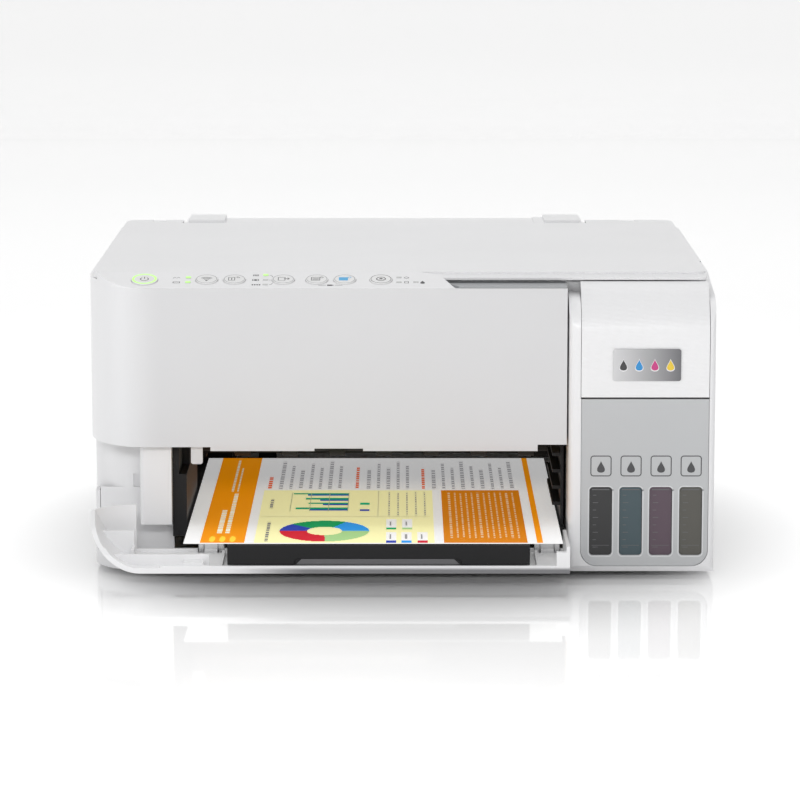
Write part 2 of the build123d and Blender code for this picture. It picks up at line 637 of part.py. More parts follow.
def indicator_lights():
    """Light guides beside the keys."""
    spots = [(-126, 11.6), (-126, 18.4), (-80, 8.3), (-80, 15), (-80, 21.7), (-0.6, 11.6), (-0.6, 18.4), (9.5, 11.9)]
    dots = []
    for x, y in spots:
        rise = (y - PANEL_Y) * math.tan(math.radians(SLOPE))
        dots.append(Pos(x, y, PANEL_TOP + rise + 0.17) * Rot(SLOPE, 0, 0) * Box(3.2, 1.5, 0.3))
    return Compound(children=dots)


def control_board():
    """Circuit board under the keys."""
    board = block((-165, 20), (8, 25), (164, 165.6))
    for x, _ in BUTTONS.values():
        board += block((x - 3, x + 3), (12.5, 18.5), (165.6, 168))
    return board


def scanner_base():
    """White scanner tub: floor, walls and the bezel around the glass, with sockets for both hinges."""
    base = block((-187.5, 183.2), (27, SCAN_REAR_MID), (SPLIT_SCAN, BEZEL_TOP))
    base += block((-187.5, -148), (290, SCAN_REAR), (SPLIT_SCAN, BEZEL_TOP))
    base += block((127, 187.5), (290, SCAN_REAR), (SPLIT_SCAN, BEZEL_TOP))
    cheek = side_outline([(125.5, SPLIT_SCAN), (120.5, 150), (TANK_REAR + 1, BEZEL_TOP), (300, BEZEL_TOP),
                          (300, SPLIT_SCAN)], (180, 187.5))
    base += cheek
    base -= block((-200, -155), (20, WRAP_REAR + GAP), (100, 172.5))
    base -= block((-200, -178), (20, WRAP_REAR + GAP), (100, 190))
    base -= block((TANK_LEFT - 1, 190), (20, 31), (100, 190))
    base -= block((-152, 181), (33, 300), (125, PANEL_TOP))
    base -= block((-184.5, -151), (61.5, 300), (125, PANEL_TOP))
    base -= block((-184.5, -150), (305, 322), (121, 160)) + block((129, 184.5), (305, 322), (121, 160))
    base -= block((-149, 151), (60, 282), (170, 190))
    base -= block((-190, 190), (313.5, 330), (174.5, 190))
    for x in (-162.0, 154.0):
        arm = block((x - 9, x + 9), (320, SCAN_PIVOT[0]), (SCAN_PIVOT[1] - 6, 174.4))
        base += arm + rod_x((x - 9, x + 9), *SCAN_PIVOT, 6)
        base -= rod_x((x - 10, x + 10), *SCAN_PIVOT, 3 + RUN_CLEAR)
        ear = block((x - 4, x + 4), (316.2, 321.8), (174, LID_PIVOT[1])) + rod_x((x - 4, x + 4), *LID_PIVOT, 2.8)
        base += ear - rod_x((x - 5, x + 5), *LID_PIVOT, 1.5 + RUN_CLEAR)
    return base


def scanner_glass():
    """Flat glass that the document lies on."""
    return block((-151.6, 156), (55, 287), (PANEL_TOP - 2.5, PANEL_TOP))


def scan_sensor():
    """Contact image sensor bar that travels under the glass."""
    bar = block((-140, -122), (62, 280), (148, 171.5)) + block((-146, -116), (158, 182), (132, 148))
    bar -= block((-134, -128), (66, 276), (170, 173))
    return bar - rod_x((-150, -110), 170, 140, 3 + RUN_CLEAR)


def sensor_rod():
    """Steel guide rod of the sensor bar."""
    return rod_x((-184.5, 181), 170, 140, 3)


# ---------------------------------------------------------------- document lid
LID_RADII = (9, 5, 10, 10)


def document_lid():
    """White lid with a cut-out for the paper support and two hinge arms."""
    lid = prism(plan((-184, 183.3), (27.1, 322.5), LID_RADII), (LID_UNDER, LID_TOP))
    lid -= block((FLAP_X[0] - 2, FLAP_X[1] + 2), (SCAN_REAR_MID, 330), (170, 190))
    nose = side_outline([(19.8, LID_UNDER), (19.8, 179.6), (30, 181.7), (38, LID_TOP), (60, LID_TOP),
                         (60, LID_UNDER)], (S_END[0], 183.3))
    edge = s_curve(0.4)
    edge += Line((S_END[0] + 0.4, 30), (S_END[0] + 0.4, 70)) + Line((S_END[0] + 0.4, 70), (190, 70))
    edge += Line((190, 70), (190, -8)) + Line((190, -8), (38.4, -8))
    nose &= prism(make_face(edge), (170, 190))
    lid += round_edges(nose, Axis.Z, [(183.3, 19.8, 179)], 4)
    for x in (-162.0, 154.0):
        lid -= block((x - 4.5, x + 4.5), (313.5, 330), (170, 190))
        lid += rod_x((x - 5.5, x + 5.5), *LID_PIVOT, 1.5)
    return lid


def lid_mat():
    """White foam sheet under the lid that presses the document flat."""
    return block((-146, 148), (63, 279), (LID_UNDER - 2.7, LID_UNDER))


# ---------------------------------------------------------------- write every piece
PIECES = {
    "base_tub": base_tub, "housing_shell": housing_shell, 
    "output_frame": output_frame, "rear_cover": rear_cover, "rubber_feet": rubber_feet,
    "case_screws": case_screws, "tank_housing": tank_housing, "tank_facia": tank_facia,
    "tank_cover": tank_cover, "badge_plate": badge_plate,
    "ink_tubes": ink_tubes, "chassis_frame": chassis_frame, "carriage_rail": carriage_rail,
    "carriage": carriage, "print_head": print_head, "carriage_belt": carriage_belt, "motors": motors,
    "feed_roller": feed_roller, "exit_roller": exit_roller, 
    "platen": platen, "maintenance_station": maintenance_station, "main_board": main_board,
    "power_supply": power_supply, "ac_inlet": ac_inlet, "usb_port": usb_port,
    "paper_hopper": paper_hopper, "edge_guide": edge_guide, "pickup_roller": pickup_roller,
    "paper_support": paper_support, "front_cover": front_cover, "output_tray": output_tray,
    "printed_sheet": printed_sheet, "front_panel": front_panel, "control_strip": control_strip,
    "handhold": handhold, "indicator_lights": indicator_lights, "control_board": control_board,
    "scanner_base": scanner_base, "scanner_glass": scanner_glass, "scan_sensor": scan_sensor,
    "sensor_rod": sensor_rod, "document_lid": document_lid, "lid_mat": lid_mat,
}

for node, make in PIECES.items():
    save(node, make())
for side, x in (("left", -138.8), ("right", 158.8)):
    save(f"{side}_pulley", belt_pulley(x))
for index, name in enumerate(TANK_NAMES):
    save(f"ink_tank_{name}", ink_tank(index))
    save(f"tank_cap_{name}", tank_cap(index))
for name, (x, radius) in BUTTONS.items():
    save(name, button(x, radius))
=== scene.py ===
import json
import math

import bmesh
import bpy
import numpy as np
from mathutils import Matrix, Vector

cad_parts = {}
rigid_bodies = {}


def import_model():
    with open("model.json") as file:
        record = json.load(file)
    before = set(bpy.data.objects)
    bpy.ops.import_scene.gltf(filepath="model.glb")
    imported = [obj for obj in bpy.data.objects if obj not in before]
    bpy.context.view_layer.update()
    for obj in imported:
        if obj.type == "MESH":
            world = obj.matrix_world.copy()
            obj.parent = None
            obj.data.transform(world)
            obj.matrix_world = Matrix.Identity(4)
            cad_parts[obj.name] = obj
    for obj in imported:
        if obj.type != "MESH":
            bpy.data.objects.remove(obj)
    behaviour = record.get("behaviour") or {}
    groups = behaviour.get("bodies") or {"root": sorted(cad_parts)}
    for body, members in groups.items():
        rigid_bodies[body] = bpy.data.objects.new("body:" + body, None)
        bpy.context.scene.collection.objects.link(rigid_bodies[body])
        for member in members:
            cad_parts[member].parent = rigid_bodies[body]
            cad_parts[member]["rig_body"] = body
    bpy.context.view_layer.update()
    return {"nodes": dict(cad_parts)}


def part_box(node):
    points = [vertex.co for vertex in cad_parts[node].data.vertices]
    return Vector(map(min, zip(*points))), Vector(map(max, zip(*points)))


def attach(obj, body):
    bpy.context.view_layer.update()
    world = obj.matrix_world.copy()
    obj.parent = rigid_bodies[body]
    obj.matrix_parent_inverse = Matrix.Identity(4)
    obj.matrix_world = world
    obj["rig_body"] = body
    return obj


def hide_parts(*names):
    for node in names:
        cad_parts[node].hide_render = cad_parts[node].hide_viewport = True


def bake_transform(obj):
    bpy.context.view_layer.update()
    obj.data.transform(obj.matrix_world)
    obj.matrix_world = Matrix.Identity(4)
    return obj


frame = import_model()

# ---------------------------------------------------------------- studio
# A long lens at standing height in front of a pale sweep, as in a catalogue studio.
# Big soft boxes stand overhead, to the left and in front, and the sweep is white all round.
# The printer's front face stands at the tank unit's face, which gives the camera its distance.
FRONT_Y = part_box("tank_housing")[0].y
camera = bpy.data.objects.new("camera", bpy.data.cameras.new("camera"))
camera.data.sensor_width = 36.0
camera.data.lens = 166.85
camera.data.clip_end = 40.0
camera.location = (0.0, FRONT_Y - 2.1755, 0.4457)
camera.rotation_euler = (math.radians(90 - 8.80), 0.0, 0.0)
bpy.context.scene.collection.objects.link(camera)
bpy.context.scene.camera = camera
bpy.context.scene.view_settings.view_transform = "Standard"
bpy.context.scene.view_settings.look = "None"


def soft_box(name, place, aim, width, height, power):
    """Rectangular area light at place, turned so that its face looks at aim."""
    data = bpy.data.lights.new(name, "AREA")
    data.shape = "RECTANGLE"
    data.size, data.size_y = width, height
    data.energy = power
    light = bpy.data.objects.new(name, data)
    light.location = place
    way = np.array(aim, float) - np.array(place, float)
    flat = math.hypot(way[0], way[1])
    light.rotation_euler = (math.atan2(flat, -way[2]), 0.0, math.atan2(-way[0], way[1]))
    bpy.context.scene.collection.objects.link(light)


soft_box("overhead_box", (0.0, 0.25, 2.4), (0.0, 0.1, 0.0), 2.4, 2.0, 21.5)
soft_box("left_box", (-2.2, -0.9, 0.9), (0.0, 0.0, 0.1), 1.2, 1.6, 5.0)
soft_box("page_box", (-0.05, -1.15, 0.42), (0.0, 0.05, 0.02), 0.6, 0.1, 3.0)

world = bpy.data.worlds.new("studio_world")
world.use_nodes = True
world.node_tree.nodes["Background"].inputs["Color"].default_value = (1.0, 1.0, 1.0, 1.0)
world.node_tree.nodes["Background"].inputs["Strength"].default_value = 0.4
bpy.context.scene.world = world


def sheet_mesh(name, points, uv=None, closed_u=False):
    """Mesh of a grid of points, rows by columns by 3, one quad between each four neighbours.

    The corner order makes the normal the cross product of the column step and the row step.
    """
    rows, columns = points.shape[:2]
    index = np.arange(rows * columns).reshape(rows, columns)
    if closed_u:
        index = np.concatenate([index, index[:, :1]], axis=1)
    quads = np.stack([index[:-1, :-1], index[:-1, 1:], index[1:, 1:], index[1:, :-1]], axis=-1).reshape(-1, 4)
    mesh = bpy.data.meshes.new(name)
    mesh.vertices.add(rows * columns)
    mesh.vertices.foreach_set("co", points.reshape(-1).astype(np.float32))
    mesh.loops.add(quads.size)
    mesh.loops.foreach_set("vertex_index", quads.reshape(-1).astype(np.int32))
    mesh.polygons.add(len(quads))
    mesh.polygons.foreach_set("loop_start", np.arange(0, quads.size, 4, dtype=np.int32))
    mesh.update(calc_edges=True)
    if uv is not None:
        layer = mesh.uv_layers.new(name="UVMap")
        layer.data.foreach_set("uv", uv.reshape(-1, 2)[quads.reshape(-1)].reshape(-1).astype(np.float32))
    mesh.validate()
    return mesh


# The sweep: a floor that curves up into the backdrop two metres behind, x across and a rolled profile in depth.
turn = np.linspace(0, math.pi / 2, 16)
profile = np.concatenate([[(-6.0, 0.0)], np.stack([3.0 + 1.5 * np.sin(turn), 1.5 - 1.5 * np.cos(turn)], 1),
                          [(4.5, 6.0)]])
across = np.array([-8.0, 8.0])
sweep_points = np.stack([np.broadcast_to(across, (len(profile), 2)),
                         np.broadcast_to(profile[:, :1], (len(profile), 2)),
                         np.broadcast_to(profile[:, 1:], (len(profile), 2))], axis=-1)
studio_sweep = bpy.data.objects.new("studio_sweep", sheet_mesh("studio_sweep", sweep_points))
studio_sweep.data.shade_smooth()
bpy.context.scene.collection.objects.link(studio_sweep)


def sweep_finish():
    """White paint that is glossy in front of the object and turns matt further out. It glows white further out,
    and the glow fades to nothing around the object: a painted contact shadow.
    """
    material = bpy.data.materials.new("sweep_paint")
    material.use_nodes = True
    nodes, links = material.node_tree.nodes, material.node_tree.links
    shader = nodes["Principled BSDF"]
    shader.inputs["Base Color"].default_value = (0.95, 0.95, 0.95, 1.0)
    shader.inputs["Roughness"].default_value = 0.9
    shader.inputs["Specular IOR Level"].default_value = 0.0
    shader.inputs["Emission Strength"].default_value = 0.4
    shader.inputs["Coat IOR"].default_value = 1.7
    shader.inputs["Coat Roughness"].default_value = 0.05
    place = nodes.new("ShaderNodeTexCoord")
    split = nodes.new("ShaderNodeSeparateXYZ")
    gloss = nodes.new("ShaderNodeMapRange")
    gloss.interpolation_type = "SMOOTHSTEP"
    gloss.inputs["From Min"].default_value = FRONT_Y - 0.85
    gloss.inputs["From Max"].default_value = FRONT_Y - 0.05
    links.new(place.outputs["Object"], split.inputs["Vector"])
    links.new(split.outputs["Y"], gloss.inputs["Value"])
    links.new(gloss.outputs["Result"], shader.inputs["Coat Weight"])
    reach = nodes.new("ShaderNodeMapping")
    reach.inputs["Scale"].default_value = (4.2, 3.6, 0.0)
    far = nodes.new("ShaderNodeVectorMath")
    far.operation = "LENGTH"
    # Painted shadow: no glow near the printer and full glow further out, so the floor darkens around it.
    glow_with_painted_shadow = nodes.new("ShaderNodeMapRange")
    glow_with_painted_shadow.interpolation_type = "SMOOTHSTEP"
    glow_with_painted_shadow.inputs["From Min"].default_value = 0.72
    glow_with_painted_shadow.inputs["From Max"].default_value = 1.25
    links.new(place.outputs["Object"], reach.inputs["Vector"])
    links.new(reach.outputs["Vector"], far.inputs[0])
    links.new(far.outputs["Value"], glow_with_painted_shadow.inputs["Value"])
    links.new(glow_with_painted_shadow.outputs["Result"], shader.inputs["Emission Color"])
    return material


studio_sweep.data.materials.append(sweep_finish())

# ---------------------------------------------------------------- white case
# Injection-moulded white ABS: the tub, the shell, the tank case, the scanner tub and the covers.
# The moulds are spark-eroded, so the faces have a very fine grain, and handling leaves them a little
# uneven in gloss. Every outer edge has a small moulded radius.


def grain_group():
    """Group: two octaves of fine noise as height, and slow noise as a gloss and tone change."""
    group = bpy.data.node_groups.new("moulded_grain", "ShaderNodeTree")
    for name, value in (("Grain Scale", 900.0), ("Base Roughness", 0.4), ("Roughness Spread", 0.08)):
        socket = group.interface.new_socket(name=name, in_out="INPUT", socket_type="NodeSocketFloat")
        socket.default_value = value
    group.interface.new_socket(name="Height", in_out="OUTPUT", socket_type="NodeSocketFloat")
    group.interface.new_socket(name="Roughness", in_out="OUTPUT", socket_type="NodeSocketFloat")
    group.interface.new_socket(name="Tone", in_out="OUTPUT", socket_type="NodeSocketFloat")
    nodes, links = group.nodes, group.links
    enter, leave = nodes.new("NodeGroupInput"), nodes.new("NodeGroupOutput")
    place = nodes.new("ShaderNodeTexCoord")
    fine = nodes.new("ShaderNodeTexNoise")
    fine.inputs["Detail"].default_value = 2.0
    slow = nodes.new("ShaderNodeTexNoise")
    slow.inputs["Scale"].default_value = 14.0
    slow.inputs["Detail"].default_value = 3.0
    links.new(place.outputs["Object"], fine.inputs["Vector"])
    links.new(place.outputs["Object"], slow.inputs["Vector"])
    links.new(enter.outputs["Grain Scale"], fine.inputs["Scale"])
    centred = nodes.new("ShaderNodeMath")
    centred.operation = "SUBTRACT"
    centred.inputs[1].default_value = 0.5
    links.new(slow.outputs["Fac"], centred.inputs[0])
    spread = nodes.new("ShaderNodeMath")
    spread.operation = "MULTIPLY_ADD"
    links.new(centred.outputs[0], spread.inputs[0])
    links.new(enter.outputs["Roughness Spread"], spread.inputs[1])
    links.new(enter.outputs["Base Roughness"], spread.inputs[2])
    links.new(fine.outputs["Fac"], leave.inputs["Height"])
    links.new(spread.outputs[0], leave.inputs["Roughness"])
    links.new(slow.outputs["Fac"], leave.inputs["Tone"])
    return group


MOULDED_GRAIN = grain_group()


def moulded_plastic(name, color, second, roughness, grain_scale=900.0, bump=0.05, coat=0.0, spread=0.08):
    """Plastic whose tone drifts between two close colours, with a fine moulded grain."""
    material = bpy.data.materials.new(name)
    material.use_nodes = True
    nodes, links = material.node_tree.nodes, material.node_tree.links
    shader = nodes["Principled BSDF"]
    grain = nodes.new("ShaderNodeGroup")
    grain.node_tree = MOULDED_GRAIN
    grain.inputs["Grain Scale"].default_value = grain_scale
    grain.inputs["Base Roughness"].default_value = roughness
    grain.inputs["Roughness Spread"].default_value = spread
    tone = nodes.new("ShaderNodeMix")
    tone.data_type = "RGBA"
    tone.inputs["A"].default_value = (*color, 1.0)
    tone.inputs["B"].default_value = (*second, 1.0)
    links.new(grain.outputs["Tone"], tone.inputs["Factor"])
    links.new(tone.outputs["Result"], shader.inputs["Base Color"])
    links.new(grain.outputs["Roughness"], shader.inputs["Roughness"])
    relief = nodes.new("ShaderNodeBump")
    relief.inputs["Strength"].default_value = bump
    relief.inputs["Distance"].default_value = 0.0002
    links.new(grain.outputs["Height"], relief.inputs["Height"])
    links.new(relief.outputs["Normal"], shader.inputs["Normal"])
    shader.inputs["Coat Weight"].default_value = coat
    shader.inputs["Coat Roughness"].default_value = 0.15
    return material


def dress(node, material):
    """Gives every slot of a CAD node the material."""
    part = frame["nodes"][node]
    part.data.materials.clear()
    part.data.materials.append(material)


def softened(node, material, radius=0.0005, segments=2, sharp=32.0):
    """Copy of a CAD node whose edges get a moulded radius, standing for that node on the same body."""
    source = frame["nodes"][node]
    mesh = source.data.copy()
    mesh.name = node + "_shell"
    work = bmesh.new()
    work.from_mesh(mesh)
    bmesh.ops.remove_doubles(work, verts=work.verts, dist=2e-6)
    bmesh.ops.dissolve_limit(work, angle_limit=math.radians(0.6), verts=work.verts, edges=work.edges)
    work.to_mesh(mesh)
    work.free()
    mesh.materials.clear()
    mesh.materials.append(material)
    piece = bpy.data.objects.new(node + "_shell", mesh)
    bpy.context.scene.collection.objects.link(piece)
    if mesh.has_custom_normals:
        bpy.context.view_layer.objects.active = piece
        bpy.ops.mesh.customdata_custom_splitnormals_clear()
    mesh.shade_smooth()
    edge = piece.modifiers.new("moulded_radius", "BEVEL")
    edge.width = radius
    edge.segments = segments
    edge.limit_method = "ANGLE"
    edge.angle_limit = math.radians(sharp)
    edge.harden_normals = True
    edge.use_clamp_overlap = True
    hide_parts(node)
    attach(piece, source["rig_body"])
    return piece


WHITE = (0.86, 0.86, 0.87)
WHITE_SHADE = (0.83, 0.83, 0.84)
case_white = moulded_plastic("case_white", WHITE, WHITE_SHADE, 0.34, coat=0.15)
for node in ("base_tub", "housing_shell", "rear_cover", "scanner_base", "paper_support"):
    softened(node, case_white)
for node in ("control_strip", "tank_housing"):
    softened(node, case_white, 0.0009, 3)


def cover_finish():
    """White plastic made paler than the case, which is painted light, whose long front edge turns grey
    downwards: a painted reflection of the dark parts below the polished face.
    """
    # Painted light: the base is paler than the case white so that the lying cover looks brighter.
    material = moulded_plastic("cover_white", (0.92, 0.92, 0.93), (0.89, 0.89, 0.9), 0.34, coat=0.15)
    nodes, links = material.node_tree.nodes, material.node_tree.links
    place = nodes.new("ShaderNodeTexCoord")
    split = nodes.new("ShaderNodeSeparateXYZ")
    links.new(place.outputs["Object"], split.inputs["Vector"])
    painted_reflection_factor = None
    painted_reflection_reaches = (("X", -0.11, -0.05), ("Y", FRONT_Y - 0.0485, FRONT_Y - 0.0495), ("Z", 0.0182, 0.0158))
    for axis, start, end in painted_reflection_reaches:
        ramp = nodes.new("ShaderNodeMapRange")
        ramp.interpolation_type = "SMOOTHSTEP"
        ramp.inputs["From Min"].default_value = start
        ramp.inputs["From Max"].default_value = end
        links.new(split.outputs[axis], ramp.inputs["Value"])
        if painted_reflection_factor is not None:
            both = nodes.new("ShaderNodeMath")
            both.operation = "MULTIPLY"
            links.new(painted_reflection_factor, both.inputs[0])
            links.new(ramp.outputs["Result"], both.inputs[1])
            painted_reflection_factor = both.outputs[0]
        else:
            painted_reflection_factor = ramp.outputs["Result"]
    # Painted reflection: the lower part of the front edge is mixed to grey.
    edge = nodes.new("ShaderNodeMix")
    edge.data_type = "RGBA"
    edge.inputs["B"].default_value = (0.2, 0.2, 0.21, 1.0)
    links.new(painted_reflection_factor, edge.inputs["Factor"])
    links.new(nodes["Mix"].outputs["Result"], edge.inputs["A"])
    links.new(edge.outputs["Result"], nodes["Principled BSDF"].inputs["Base Color"])
    return material


softened("front_cover", cover_finish(), 0.0009, 3)
# The front panel is the case white. Its grey base colour is painted shade on a face that gets less light, and
# its left corner is painted lighter where the rounded corner turns to the light, a painted highlight.
panel_painted_light_and_shade = moulded_plastic("panel_painted_light_and_shade", (0.68, 0.68, 0.69), (0.66, 0.66, 0.67), 0.3, coat=0.25)
nodes, links = panel_painted_light_and_shade.node_tree.nodes, panel_painted_light_and_shade.node_tree.links
where = nodes.new("ShaderNodeTexCoord")
split = nodes.new("ShaderNodeSeparateXYZ")
painted_light_ramp = nodes.new("ShaderNodeMapRange")
painted_light_ramp.interpolation_type = "SMOOTHSTEP"
painted_light_ramp.inputs["From Min"].default_value = -0.18
painted_light_ramp.inputs["From Max"].default_value = -0.14
corner_painted_light = nodes.new("ShaderNodeMix")
corner_painted_light.data_type = "RGBA"
corner_painted_light.inputs["A"].default_value = (*WHITE, 1.0)
links.new(where.outputs["Object"], split.inputs["Vector"])
links.new(split.outputs["X"], painted_light_ramp.inputs["Value"])
links.new(painted_light_ramp.outputs["Result"], corner_painted_light.inputs["Factor"])
links.new(nodes["Mix"].outputs["Result"], corner_painted_light.inputs["B"])
links.new(corner_painted_light.outputs["Result"], nodes["Principled BSDF"].inputs["Base Color"])
softened("front_panel", panel_painted_light_and_shade, 0.0009, 3)

# ---------------------------------------------------------------- textured covers
# The lid and the tank cover are the same white, with a fine diagonal weave eroded into the mould.
# It hides scratches where papers and bottles rest on them.


def woven_white(name, upright):
    """White plastic whose relief is two families of short ridges crossing on the diagonal, as in a twill."""
    material = moulded_plastic(name, WHITE, WHITE_SHADE, 0.4, coat=0.1)
    nodes, links = material.node_tree.nodes, material.node_tree.links
    place = nodes.new("ShaderNodeTexCoord")
    crossing = nodes.new("ShaderNodeMath")
    crossing.operation = "MULTIPLY"
    families = ((84, 120.0), (-12, 45.0)) if upright else ((38, 150.0), (-52, 60.0))
    for index, (angle, scale) in enumerate(families):
        turned = nodes.new("ShaderNodeMapping")
        turned.inputs["Rotation"].default_value = (0.0, math.radians(angle) * upright,
                                                   math.radians(angle) * (1 - upright))
        ridges = nodes.new("ShaderNodeTexWave")
        ridges.inputs["Scale"].default_value = scale
        ridges.inputs["Distortion"].default_value = 1.4
        ridges.inputs["Detail"].default_value = 1.0
        ridges.inputs["Detail Scale"].default_value = 2.0
        links.new(place.outputs["Object"], turned.inputs["Vector"])
        links.new(turned.outputs["Vector"], ridges.inputs["Vector"])
        links.new(ridges.outputs["Fac"], crossing.inputs[index])
    relief = nodes.new("ShaderNodeBump")
    relief.inputs["Strength"].default_value = 0.35 + 0.25 * (1 - upright)
    relief.inputs["Distance"].default_value = 0.0003
    links.new(crossing.outputs[0], relief.inputs["Height"])
    links.new(nodes["Bump"].outputs["Normal"], relief.inputs["Normal"])
    links.new(relief.outputs["Normal"], nodes["Principled BSDF"].inputs["Normal"])
    return material


softened("document_lid", woven_white("woven_lid", 0), 0.0012, 3)
softened("tank_cover", woven_white("woven_cover", 1), 0.0006, 2)

# ---------------------------------------------------------------- inner black parts
# Glass-filled black plastic: the output frame, the stacker plate, the platen, the carriage and the hopper.
# A black sheet near the top of the base's rear wall is painted shade: it closes a gap through which the backdrop
# would show, where the inside of the printer lies in shade.
INNER_BLACK = moulded_plastic("inner_black", (0.009, 0.009, 0.01), (0.013, 0.013, 0.014), 0.5,
                              grain_scale=600.0, bump=0.15)
INNER_BLACK.node_tree.nodes["Principled BSDF"].inputs["Specular IOR Level"].default_value = 0.25
for node in ("output_frame", "output_tray", "paper_hopper", "carriage"):
    softened(node, INNER_BLACK, 0.0004)
for node in ("platen", "ac_inlet", "power_supply"):
    dress(node, INNER_BLACK)
# Painted shade: a flat grey for the shadowed floor seen through the tray's finger notch.
RECESS_PAINTED_SHADE = moulded_plastic("recess_painted_shade", (0.11, 0.11, 0.115), (0.13, 0.13, 0.135), 0.4)
DARK_GREY = moulded_plastic("dark_grey", (0.2, 0.2, 0.21), (0.23, 0.23, 0.24), 0.45, bump=0.08)
for node in ("edge_guide", "maintenance_station", "print_head", "scan_sensor"):
    dress(node, DARK_GREY)
# The handhold recess is coloured grey as painted shade, where it lies in the shadow of the lid's lip.
dress("handhold", moulded_plastic("handhold_painted_shade", (0.33, 0.34, 0.35), (0.36, 0.37, 0.38), 0.4))
# Painted shade: a black sheet standing where the inside of the case is in shadow.
CURTAIN_X, CURTAIN_Z, CURTAIN_Y = np.array([-0.105, -0.085]), np.array([0.015, 0.0205]), FRONT_Y + 0.342
curtain_wide, curtain_tall = np.meshgrid(CURTAIN_X, CURTAIN_Z)
curtain_points = np.stack([curtain_wide, np.full(curtain_wide.shape, CURTAIN_Y), curtain_tall], axis=-1)
shade_curtain = bpy.data.objects.new("shade_curtain", sheet_mesh("shade_curtain", curtain_points))
bpy.context.scene.collection.objects.link(shade_curtain)
shade_curtain.data.materials.append(INNER_BLACK)
curtain_depth = shade_curtain.modifiers.new("curtain_thickness", "SOLIDIFY")
curtain_depth.thickness = 0.001
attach(shade_curtain, "housing")

# ---------------------------------------------------------------- ink tank unit
# Translucent polypropylene bottles behind a grey facia, each with its sight window and filler cap.
# The facia is printed with a rounded square and a drop above each window, and levels are marked beside the ink.


def line_strip(points, width):
    """Strip along a path in a plane: each point moved half the width to either side of the path."""
    path = np.array(points, float)
    step = np.gradient(path, axis=0)
    step /= np.linalg.norm(step, axis=1, keepdims=True)
    side = np.stack([-step[:, 1], step[:, 0]], axis=1) * width / 2
    return np.stack([path + side, path - side], axis=1)


def ring_strip(centre, inner, outer, start=0.0, end=360.0):
    """Part of a flat ring: points on the inner and outer circle at evenly spaced angles in degrees."""
    angle = np.radians(np.linspace(start, end, 41))
    spoke = np.stack([np.cos(angle), np.sin(angle)], axis=1)
    return np.array(centre) + np.stack([inner * spoke, outer * spoke], axis=1)


def box_strip(x, y):
    """Flat rectangle between two x values and two y values."""
    return np.array([[(x[0], y[0]), (x[1], y[0])], [(x[0], y[1]), (x[1], y[1])]], float)


def rounded_ring(centre, half, radius, width):
    """Outline of a rounded rectangle: quarter circles at the corners, with one point more to close it."""
    angle = np.linspace(0, math.pi / 2, 7)
    corners = ((1, 1, 0), (-1, 1, 1), (-1, -1, 2), (1, -1, 3))
    path = [np.stack([sx * (half[0] - radius) + radius * np.cos(angle + quarter * math.pi / 2),
                      sy * (half[1] - radius) + radius * np.sin(angle + quarter * math.pi / 2)], axis=1)
            for sx, sy, quarter in corners]
    loop = np.concatenate(path + [path[0][:2]])
    return line_strip(loop + np.array(centre), width)


def drop_strip(centre, size):
    """Filled drop: the edge is x = -size sin(t) sin(t / 2) squared, y = size cos(t), joined to a middle."""
    turn = np.linspace(0.0, 2 * math.pi, 33)
    edge = np.stack([-size * np.sin(turn) * np.sin(turn / 2) ** 2, size * np.cos(turn)], axis=1)
    middle = np.broadcast_to(np.array([0.0, -0.3 * size]), edge.shape)
    return np.array(centre) + np.stack([middle, edge], axis=1)


def box_outline(x, y, width):
    """Thin rectangular frame as four strips."""
    return [box_strip(x, (y[0], y[0] + width)), box_strip(x, (y[1] - width, y[1])),
            box_strip((x[0], x[0] + width), y), box_strip((x[1] - width, x[1]), y)]


def flat_marks(name, strips, origin, up, material, body):
    """Printed marks: strips in millimetres laid on a plane through origin, x to the right and y along up."""
    corners, quads, count = [], [], 0
    right, up = np.array([1.0, 0.0, 0.0]), np.array(up, float)
    for strip in strips:
        flat = strip.reshape(-1, 2) / 1000.0
        corners.append(np.array(origin) + flat[:, :1] * right + flat[:, 1:] * up)
        index = count + np.arange(len(flat)).reshape(-1, 2)
        quads.append(np.stack([index[:-1, 0], index[:-1, 1], index[1:, 1], index[1:, 0]], axis=-1))
        count += len(flat)
    mesh = bpy.data.meshes.new(name)
    mesh.from_pydata(np.concatenate(corners), [], np.concatenate(quads))
    mesh.materials.append(material)
    piece = bpy.data.objects.new(name, mesh)
    bpy.context.scene.collection.objects.link(piece)
    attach(piece, body)
    return piece


def spot(x, y, z):
    """Point in metres from millimetres counted from the middle, the tank unit's face and the table."""
    return np.array([x / 1000, FRONT_Y + y / 1000, z / 1000])


def glowing(name, color, strength):
    """Lit plastic: a light guide with its own light."""
    material = moulded_plastic(name, color, color, 0.3)
    shader = material.node_tree.nodes["Principled BSDF"]
    shader.inputs["Emission Color"].default_value = (*color, 1.0)
    shader.inputs["Emission Strength"].default_value = strength
    return material


FACIA_GREY = moulded_plastic("facia_grey", (0.505, 0.515, 0.525), (0.53, 0.54, 0.55), 0.33, coat=0.2, bump=0.02)
softened("tank_facia", FACIA_GREY, 0.0004)
INKS = {"black": (0.011, 0.011, 0.012), "cyan": (0.037, 0.067, 0.08),
        "magenta": (0.078, 0.047, 0.068), "yellow": (0.072, 0.069, 0.058)}
CAPS = {"black": (0.02, 0.02, 0.022), "cyan": (0.0, 0.25, 0.6), "magenta": (0.55, 0.02, 0.2),
        "yellow": (0.8, 0.55, 0.02)}
MARK_DARK = moulded_plastic("printed_dark", (0.06, 0.06, 0.065), (0.075, 0.075, 0.08), 0.45)
MARK_GREY = moulded_plastic("printed_grey", (0.33, 0.33, 0.34), (0.36, 0.36, 0.37), 0.45)
MARK_FAINT = moulded_plastic("printed_faint", (0.12, 0.12, 0.125), (0.14, 0.14, 0.145), 0.45)
